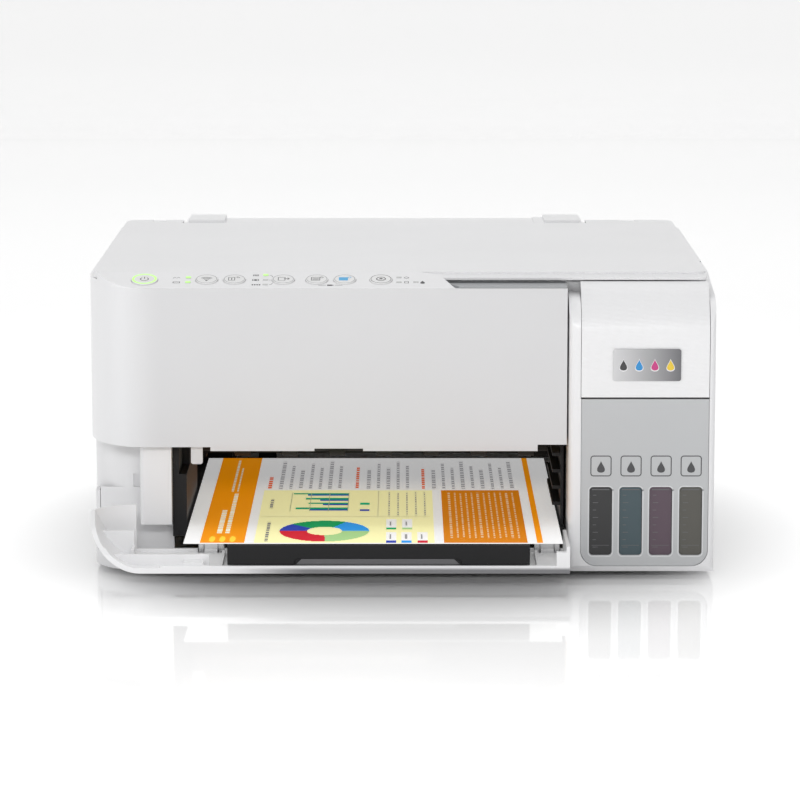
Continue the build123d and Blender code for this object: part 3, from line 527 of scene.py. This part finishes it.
EDGE_LIGHT = moulded_plastic("window_edge", (0.66, 0.67, 0.68), (0.7, 0.71, 0.72), 0.3, coat=0.3)
UPRIGHT = (0.0, 0.0, 1.0)
TANK_FIRST, TANK_STEP = 119.7, 17.9
WINDOW_LOW, WINDOW_HIGH, WINDOW_HALF = 15.0, 56.0, 6.5
labels, halos = [], []
for index, (name, color) in enumerate(INKS.items()):
    x = TANK_FIRST + TANK_STEP * index
    lit = tuple(1.25 * part for part in color)
    ink = moulded_plastic("ink_" + name, color, lit, 0.28, coat=0.4, bump=0.01)
    softened("ink_tank_" + name, ink, 0.0004)
    dress("tank_cap_" + name, moulded_plastic("cap_" + name, CAPS[name], CAPS[name], 0.45))
    labels += [rounded_ring((x, 69.05), (6.0, 6.0), 1.6, 0.6), drop_strip((x, 68.6), 3.6)]
    middle = (WINDOW_LOW + WINDOW_HIGH) / 2
    halos.append(rounded_ring((x, middle), (WINDOW_HALF + 0.75, middle - WINDOW_LOW + 0.75), 2.6, 0.8))
    ticks = [box_strip((x - 4.6, x - 1.4 - 1.2 * (row % 2)), (z, z + 0.35))
             for row, z in enumerate(np.linspace(19.5, 51.0, 8))]
    ticks.append(box_strip((x - 5.2, x + 5.2), (54.3, 54.9)))
    ticks.append(box_strip((x - 5.2, x + 5.2), (20.6, 20.9)))
    flat_marks("levels_" + name, ticks, spot(0, 1.77, 0), UPRIGHT, MARK_FAINT, "housing")
flat_marks("tank_labels", labels, spot(0, 0.57, 0), UPRIGHT, MARK_DARK, "housing")
flat_marks("window_edges", halos, spot(0, 0.56, 0), UPRIGHT, EDGE_LIGHT, "housing")
TUBE = moulded_plastic("clear_tube", (0.55, 0.56, 0.56), (0.6, 0.6, 0.6), 0.2, coat=0.5)
dress("ink_tubes", TUBE)

# A flat grey sheet on the tray's front face is painted shade: the finger notch, with the shadowed cover floor
# seen through it.
notch_shade_sheet = np.array([[(-61.0, 18.9), (35.0, 18.9)], [(-57.5, 22.2), (31.5, 22.2)]])
flat_marks("tray_notch_painted_shade", [notch_shade_sheet], spot(0, -47.43, 0), UPRIGHT, RECESS_PAINTED_SHADE, "output_tray")

# ---------------------------------------------------------------- badge
# Anodised plate glued to the tank cover, brushed from light at its left end to dark at its right end.
# It carries four plain drops in the colours of the inks, each with a white edge.


def badge_metal():
    """Brushed plate whose tone runs from one end to the other, with a fine noise grain over it."""
    material = moulded_plastic("badge_silver", (0.3, 0.3, 0.31), (0.34, 0.34, 0.35), 0.32)
    nodes, links = material.node_tree.nodes, material.node_tree.links
    place = nodes.new("ShaderNodeTexCoord")
    split = nodes.new("ShaderNodeSeparateXYZ")
    span = nodes.new("ShaderNodeMapRange")
    span.inputs["From Min"].default_value = 0.1262
    span.inputs["From Max"].default_value = 0.1667
    ramp = nodes.new("ShaderNodeValToRGB")
    ramp.color_ramp.elements[0].color = (0.62, 0.62, 0.63, 1.0)
    ramp.color_ramp.elements[1].color = (0.16, 0.16, 0.17, 1.0)
    links.new(place.outputs["Object"], split.inputs["Vector"])
    links.new(split.outputs["X"], span.inputs["Value"])
    links.new(span.outputs["Result"], ramp.inputs["Fac"])
    links.new(ramp.outputs["Color"], nodes["Principled BSDF"].inputs["Base Color"])
    nodes["Principled BSDF"].inputs["Metallic"].default_value = 0.35
    return material


softened("badge_plate", badge_metal(), 0.0002)
MARK_WHITE = moulded_plastic("printed_white", (0.82, 0.82, 0.83), (0.78, 0.78, 0.79), 0.4)
DROP_FIRST, DROP_STEP, DROP_Z = 132.5, 9.3, 130.0
for index, (name, color) in enumerate(CAPS.items()):
    x = DROP_FIRST + DROP_STEP * index
    shine = moulded_plastic("drop_" + name, color, color, 0.25, coat=0.5)
    flat_marks("badge_edge_" + name, [drop_strip((x, DROP_Z), 3.9)], spot(0, -0.72, 0), UPRIGHT, MARK_WHITE,
               "tank_cover")
    flat_marks("badge_drop_" + name, [drop_strip((x, DROP_Z), 3.3)], spot(0, -0.74, 0), UPRIGHT, shine,
               "tank_cover")

# ---------------------------------------------------------------- control keys
# White domed keys in holes of the sloping strip. Each has a thin printed ring and a symbol, and the
# power key has a lit ring. The symbols are plain shapes, and each one moves with its own key.
KEY_WHITE = moulded_plastic("key_white", (0.84, 0.84, 0.84), (0.8, 0.8, 0.8), 0.35, coat=0.2)
LIT_GREEN = glowing("lit_green", (0.45, 0.83, 0.2), 0.55)
MARK_BLUE = moulded_plastic("printed_blue", (0.08, 0.42, 0.75), (0.09, 0.45, 0.78), 0.45)
SLOPE = math.atan2(7.1, 23.8)
SLOPE_UP = np.array([0.0, math.cos(SLOPE), math.sin(SLOPE)])
SLOPE_OUT = np.array([0.0, -math.sin(SLOPE), math.cos(SLOPE)])
STRIP_MID = 175.2 + 12.0 * math.tan(SLOPE)
KEY_RISE = 0.00083
THIN = 0.4
KEY_PLACES = {"power_button": -152.0, "wireless_button": -115.0, "network_button": -98.5,
              "scan_mode_button": -69.4, "mono_copy_button": -49.5, "color_copy_button": -32.9,
              "stop_button": -11.3}
page_lines = [box_strip((-2.6, 1.2), (v, v + 0.4)) for v in (-1.6, -0.5, 0.6)]
spark = [line_strip([(1.9, 2.2), (2.9, 2.2 + tip), (3.9, 2.2)], THIN) for tip in (1.0, -1.0)]
SYMBOLS = {
    "power_button": [ring_strip((0, -0.3), 2.1, 2.6, 125, 415), box_strip((-0.25, 0.25), (0.2, 3.0))],
    "wireless_button": [ring_strip((0, -2.4), 0.02, 0.7)] + [ring_strip((0, -2.4), r, r + 0.5, 45, 135)
                                                             for r in (1.8, 3.1, 4.4)],
    "network_button": box_outline((-3.6, 0.4), (-2.4, 2.4), THIN) + [box_strip((-1.9, -1.3), (-1.4, 1.2))]
                      + [ring_strip((0.8, 0.8), r, r + 0.4, 10, 80) for r in (1.2, 2.2)],
    "scan_mode_button": box_outline((-3.2, 1.2), (-2.4, 2.4), THIN)
                        + [line_strip([(0.2, 0.2), (3.6, 0.2)], 0.5),
                           line_strip([(2.4, 1.4), (3.7, 0.2), (2.4, -1.0)], 0.5)],
    "mono_copy_button": box_outline((-3.4, 2.0), (-2.4, 2.4), THIN) + page_lines + spark,
    "color_copy_button": [box_strip((-3.4, 2.0), (-2.4, 2.4))] + spark,
    "stop_button": [ring_strip((0, 0), 2.3, 2.9), ring_strip((0, 0), 0.02, 0.8)]
                   + [line_strip([(-1.4, -0.9), (0, 1.5), (1.4, -0.9)], 0.45)],
}
for key, x in KEY_PLACES.items():
    softened(key, KEY_WHITE, 0.00015)
    top = spot(x, 15.0, STRIP_MID) + KEY_RISE * SLOPE_OUT
    paint = MARK_BLUE if key == "color_copy_button" else MARK_DARK
    flat_marks(key + "_symbol", SYMBOLS[key], top, SLOPE_UP, paint, key)
    if key == "power_button":
        flat_marks(key + "_ring", [ring_strip((0, 0), 6.1, 7.35)], top, SLOPE_UP, LIT_GREEN, key)
    else:
        ring = MARK_DARK if key == "stop_button" else MARK_GREY
        flat_marks(key + "_ring", [ring_strip((0, 0), 5.85, 6.2)], top, SLOPE_UP, ring, key)

# ---------------------------------------------------------------- strip prints and lamps
# Small symbols printed on the strip between the keys, with short light guides beside them.
# Three of the guides are lit green, and the others are dark.
LAMP_OFF = moulded_plastic("lamp_off", (0.55, 0.56, 0.55), (0.6, 0.61, 0.6), 0.25, coat=0.3)
dress("indicator_lights", LAMP_OFF)
strip_face = spot(0, 15.0, STRIP_MID)
lamps = [box_strip((x - 1.5, x + 1.5), (v - 1.1, v + 1.1)) for x, v in ((-126, 3.5), (-126, -3.5), (-80, 7.0))]
flat_marks("lit_lamps", lamps, strip_face + 0.00038 * SLOPE_OUT, SLOPE_UP, LIT_GREEN, "scanner_unit")
prints = [line_strip([(-135.2, 2.6), (-134, 4.2), (-133, 2.8), (-132, 4.2), (-131, 3.2)], THIN)]
prints += box_outline((-135.0, -130.8), (-4.6, -2.4), THIN)
prints += box_outline((-87.6, -84.2), (6.0, 8.0), THIN) + [box_strip((-86.8, -85.0), (6.8, 7.2))]
prints += box_outline((-87.9, -83.9), (-1.1, 1.1), THIN) + [ring_strip((-85.9, 0), 0.02, 0.8)]
prints += [box_strip((x, x + 0.9), (-7.8, -6.2)) for x in (-88.0, -86.6, -85.2, -83.8)]
prints += [line_strip([(-77.8, v), (-76.4, v * 0.9), (-75.6, v * 0.6)], 0.3) for v in (7.0, -7.0)]
prints += [line_strip([(-78.0, 0), (-76.0, 0)], 0.3)]
prints += [box_strip((-48.4, -43.8), (-7.9, -7.5)), box_strip((-38.8, -34.2), (-7.9, -7.5))]
prints += [box_strip((-43.2, -40.4), (-8.6, -6.8)), box_strip((-41.8, -39.4), (-8.2, -7.2))]
prints += [line_strip([(2.4, 3.4), (3.9, 3.4 + tip), (5.4, 3.4)], THIN) for tip in (1.6, -1.6)]
prints += box_outline((2.6, 5.2), (-4.8, -2.0), THIN) + [drop_strip((13.4, -3.2), 2.2)]
flat_marks("strip_prints", prints, strip_face + 0.00004 * SLOPE_OUT, SLOPE_UP, MARK_DARK, "scanner_unit")

# ---------------------------------------------------------------- printed page
# One printed page lying on the stacker: coated paper with bands, a chart box and columns of grey lines.
# The lines are plain bars where words would be.
PAGE_X, PAGE_Y = (-126.7, 95.3), (-47.6, 249.4)
PAGE_CELL = (0.5, 1.5)


def page_colors(x, y):
    """Color of each cell of the page, the wide bands painted first and the small bars last."""
    paint = np.full(x.shape + (3,), 0.84)

    def fill(where, color):
        paint[where] = color

    def inside(x0, x1, y0, y1):
        return (x >= x0) & (x < x1) & (y >= y0) & (y < y1)

    fill(inside(-117.0, -91.1, -44.5, 300), (0.86, 0.29, 0.0))
    fill(inside(80.4, 83.6, -44.5, 300), (0.86, 0.29, 0.0))
    fill(inside(-85.8, 20.5, -44.5, 129), (0.92, 0.88, 0.46))
    fill(inside(25.6, 75.0, -44.5, 129), (0.64, 0.2, 0.002))
    bars = [(-108.5, -105.5, -14, 60, 0.88), (-103.8, -101.0, -14, 118, 0.88), (-106.0, -104.6, 124, 240, 0.7),
            (-102.6, -101.6, 124, 210, 0.7)]
    for x0, x1, y0, y1, tone in bars:
        fill(inside(x0, x1, y0, y1) & (np.sin(y * 1.1 + x0) > -0.75), (tone, tone, 0.8 * tone))
    for x0 in (-112.0, -106.0, -100.0):
        fill(np.hypot((x - x0 - 1.5) / 1.8, (y + 33) / 9) < 1, (0.9, 0.62, 0.05))
    for x0 in np.arange(30.0, 70.0, 3.6):
        fill(inside(x0, x0 + 1.1, -30, 120) & (np.sin(y * 0.9 + x0 * 3) > -0.5), (0.75, 0.5, 0.3))
    rows = np.concatenate([np.arange(-76.5, -34, 6.2), np.arange(-21.0, 10, 6.2), np.arange(20.4, 76, 6.2)])
    for count, x0 in enumerate(rows):
        reach = 236 - 40 * ((count * 7) % 5) / 5
        fill(inside(x0, x0 + 2.2, 134, reach) & (np.sin(y * 0.75 + x0 * 2.3) > -0.6), (0.4, 0.4, 0.41))
    for x0, reach in ((-83.6, 178), (-28.4, 215), (13.6, 208)):
        fill(inside(x0, x0 + 2.4, 134, reach) & (np.sin(y * 0.8 + x0) > -0.7), (0.8, 0.13, 0.04))
    fill(inside(-84.0, 18.5, 37.2, 38.7), (0.5, 0.5, 0.34))
    fill(inside(-13.8, -13.3, 38, 126), (0.5, 0.5, 0.34))
    fill(inside(-79.8, -77.6, -40, 22) & (np.sin(y * 0.9) > -0.7), (0.2, 0.2, 0.2))
    fill(inside(-80.0, -78.0, 66, 98) & (np.sin(y * 0.9) > -0.7), (0.2, 0.2, 0.2))
    across, along = (x + 45.0) / 26.7, (y + 7.5) / 33.0
    radius, angle = np.hypot(across, along), np.degrees(np.arctan2(along, across)) % 360
    wedges = ((0, 62, (0.02, 0.3, 0.78)), (62, 138, (0.0, 0.32, 0.1)), (138, 180, (0.02, 0.05, 0.4)),
              (180, 272, (0.6, 0.01, 0.03)), (272, 360, (0.36, 0.6, 0.25)))
    for start, end, color in wedges:
        fill((radius < 1.0) & (radius > 0.39) & (angle >= start) & (angle < end), color)
    for x0, y0 in ((-66.9, 114), (-58.6, 97), (-56.8, 81), (-64.0, 64)):
        fill(inside(x0, -32.3, y0, y0 + 5), (0.0, 0.34, 0.16))
        fill(inside(x0 + 9, -32.3, y0 - 4.5, y0), (0.03, 0.07, 0.42))
    for x0 in (-67.7, -55.9, -44.1, -32.3):
        fill(inside(x0, x0 + 0.5, 56, 120), (0.35, 0.4, 0.25))
    keys = ((-8.4, -3, (0.0, 0.36, 0.12)), (1.1, -3, (0.36, 0.6, 0.25)), (-8.3, -44, (0.02, 0.05, 0.4)),
            (1.0, -44, (0.02, 0.3, 0.78)), (10.3, -44, (0.6, 0.01, 0.03)))
    for x0, y0, color in keys:
        fill(inside(x0, x0 + 6, y0, y0 + 33), (0.86, 0.86, 0.86))
        fill(inside(x0, x0 + 6, y0, y0 + 7), color)
        fill(inside(x0 + 2, x0 + 3.2, y0 + 12, y0 + 26), (0.3, 0.3, 0.3))
    fill(inside(-24.6, -18.8, 79, 86), (0.0, 0.42, 0.2))
    fill(inside(-24.6, -18.8, 57, 64), (0.02, 0.05, 0.4))
    for x0 in np.arange(-7.2, 16, 5.5):
        fill(inside(x0, x0 + 1.0, 42, 122) & (np.sin(y * 0.8 + x0 * 2) > -0.6), (0.35, 0.35, 0.3))
    return paint


def printed_page():
    """Flat grid of cells, x across and y along the page, each cell with its own color at its four corners."""
    columns = int((PAGE_X[1] - PAGE_X[0]) / PAGE_CELL[0]) + 1
    rows = int((PAGE_Y[1] - PAGE_Y[0]) / PAGE_CELL[1]) + 1
    x, y = np.linspace(*PAGE_X, columns), np.linspace(*PAGE_Y, rows)
    wide, long = np.meshgrid(x, y)
    points = np.stack([wide / 1000, FRONT_Y + long / 1000, np.full(wide.shape, 0.03125)], axis=-1)
    mesh = sheet_mesh("printed_page", points)
    middle_x, middle_y = np.meshgrid((x[1:] + x[:-1]) / 2, (y[1:] + y[:-1]) / 2)
    cells = page_colors(middle_x, middle_y).reshape(-1, 3)
    corner_colors = np.ones((len(cells) * 4, 4), np.float32)
    corner_colors[:, :3] = np.repeat(cells, 4, axis=0)
    layer = mesh.color_attributes.new("page_color", "FLOAT_COLOR", "CORNER")
    layer.data.foreach_set("color", corner_colors.reshape(-1))
    return mesh


def coated_paper():
    """Coated paper: the print on its face, plain white behind, faint fibre relief, and a glow in its own colours
    at half strength that is painted light on the page.
    """
    material = moulded_plastic("coated_paper", (0.84, 0.84, 0.83), (0.82, 0.82, 0.81), 0.5, grain_scale=500.0)
    nodes, links = material.node_tree.nodes, material.node_tree.links
    print_color = nodes.new("ShaderNodeAttribute")
    print_color.attribute_name = "page_color"
    side = nodes.new("ShaderNodeNewGeometry")
    face = nodes.new("ShaderNodeMix")
    face.data_type = "RGBA"
    face.inputs["B"].default_value = (0.84, 0.84, 0.83, 1.0)
    links.new(side.outputs["Backfacing"], face.inputs["Factor"])
    links.new(print_color.outputs["Color"], face.inputs["A"])
    links.new(face.outputs["Result"], nodes["Principled BSDF"].inputs["Base Color"])
    # Painted light: the page glows in its own colours, which brightens it inside the printer's shaded mouth.
    links.new(face.outputs["Result"], nodes["Principled BSDF"].inputs["Emission Color"])
    nodes["Principled BSDF"].inputs["Emission Strength"].default_value = 0.5
    return material


page = bpy.data.objects.new("printed_page", printed_page())
bpy.context.scene.collection.objects.link(page)
page.data.materials.append(coated_paper())
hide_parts("printed_sheet")
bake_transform(page)

# ---------------------------------------------------------------- lid mat
# White foam pad glued under the lid, which presses the page flat on the glass. Its edges are cut and soft.


def foam_pad():
    """Rounded slab: a rounded-rectangle section across, swept along x and drawn in at both ends.

    The section is y = hy c |c| ** (2/n - 1), z = hz s |s| ** (2/m - 1) with c and s the cosine and sine
    of the angle, and at the ends both half sizes shrink by the 1/16 power of 1 - u ** 16.
    """
    low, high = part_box("lid_mat")
    centre, half = (np.array(low) + np.array(high)) / 2, (np.array(high) - np.array(low)) / 2
    turn = np.linspace(0, 2 * math.pi, 65)[:-1]
    u = np.sin(np.linspace(-math.pi / 2, math.pi / 2, 61))
    shrink = np.maximum(1 - np.abs(u) ** 16, 1e-9) ** (1 / 16)
    flat = np.sign(np.cos(turn)) * np.abs(np.cos(turn)) ** 0.12
    deep = np.sign(np.sin(turn)) * np.abs(np.sin(turn)) ** 0.35
    points = np.stack([centre[0] + half[0] * np.broadcast_to(u[:, None], (61, 64)),
                       centre[1] + half[1] * shrink[:, None] * flat[None, :],
                       centre[2] + half[2] * shrink[:, None] ** 4 * deep[None, :]], axis=-1)
    return sheet_mesh("foam_pad", points[:, ::-1], closed_u=True)


FOAM = moulded_plastic("lid_foam", (0.82, 0.82, 0.82), (0.78, 0.78, 0.78), 0.9, grain_scale=350.0, bump=0.5)
pad = bpy.data.objects.new("foam_pad", foam_pad())
pad.data.shade_smooth()
bpy.context.scene.collection.objects.link(pad)
pad.data.materials.append(FOAM)
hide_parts("lid_mat")
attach(pad, "document_lid")

# ---------------------------------------------------------------- metal, rubber, boards
# Zinc-plated sheet and ground bars, rubber feet, belt and rollers, and green boards inside the case.
# They are stamped, moulded or etched parts that show only when the scanner is up.
STEEL = moulded_plastic("plated_steel", (0.5, 0.5, 0.52), (0.56, 0.56, 0.58), 0.3, grain_scale=300.0)
STEEL.node_tree.nodes["Principled BSDF"].inputs["Metallic"].default_value = 1.0
for node in ("chassis_frame", "carriage_rail", "motors", "case_screws", "usb_port", "feed_roller", "sensor_rod"):
    dress(node, STEEL)
RUBBER = moulded_plastic("black_rubber", (0.02, 0.02, 0.02), (0.03, 0.03, 0.03), 0.7)
for node in ("rubber_feet", "carriage_belt", "exit_roller", "pickup_roller"):
    dress(node, RUBBER)
BOARD = moulded_plastic("circuit_board", (0.01, 0.14, 0.05), (0.015, 0.17, 0.06), 0.4)
for node in ("main_board", "control_board"):
    dress(node, BOARD)
for node in ("left_pulley", "right_pulley"):
    dress(node, KEY_WHITE)

# ---------------------------------------------------------------- scanner glass
# Float glass, two and a half millimetres thick, cemented under the frame of the scanner.
# It is faintly green, as plain float glass is.
GLASS = bpy.data.materials.new("scanner_glass")
GLASS.use_nodes = True
shader = GLASS.node_tree.nodes["Principled BSDF"]
shader.inputs["Base Color"].default_value = (0.93, 0.97, 0.95, 1.0)
shader.inputs["Transmission Weight"].default_value = 1.0
shader.inputs["Roughness"].default_value = 0.02
shader.inputs["IOR"].default_value = 1.5
dress("scanner_glass", GLASS)
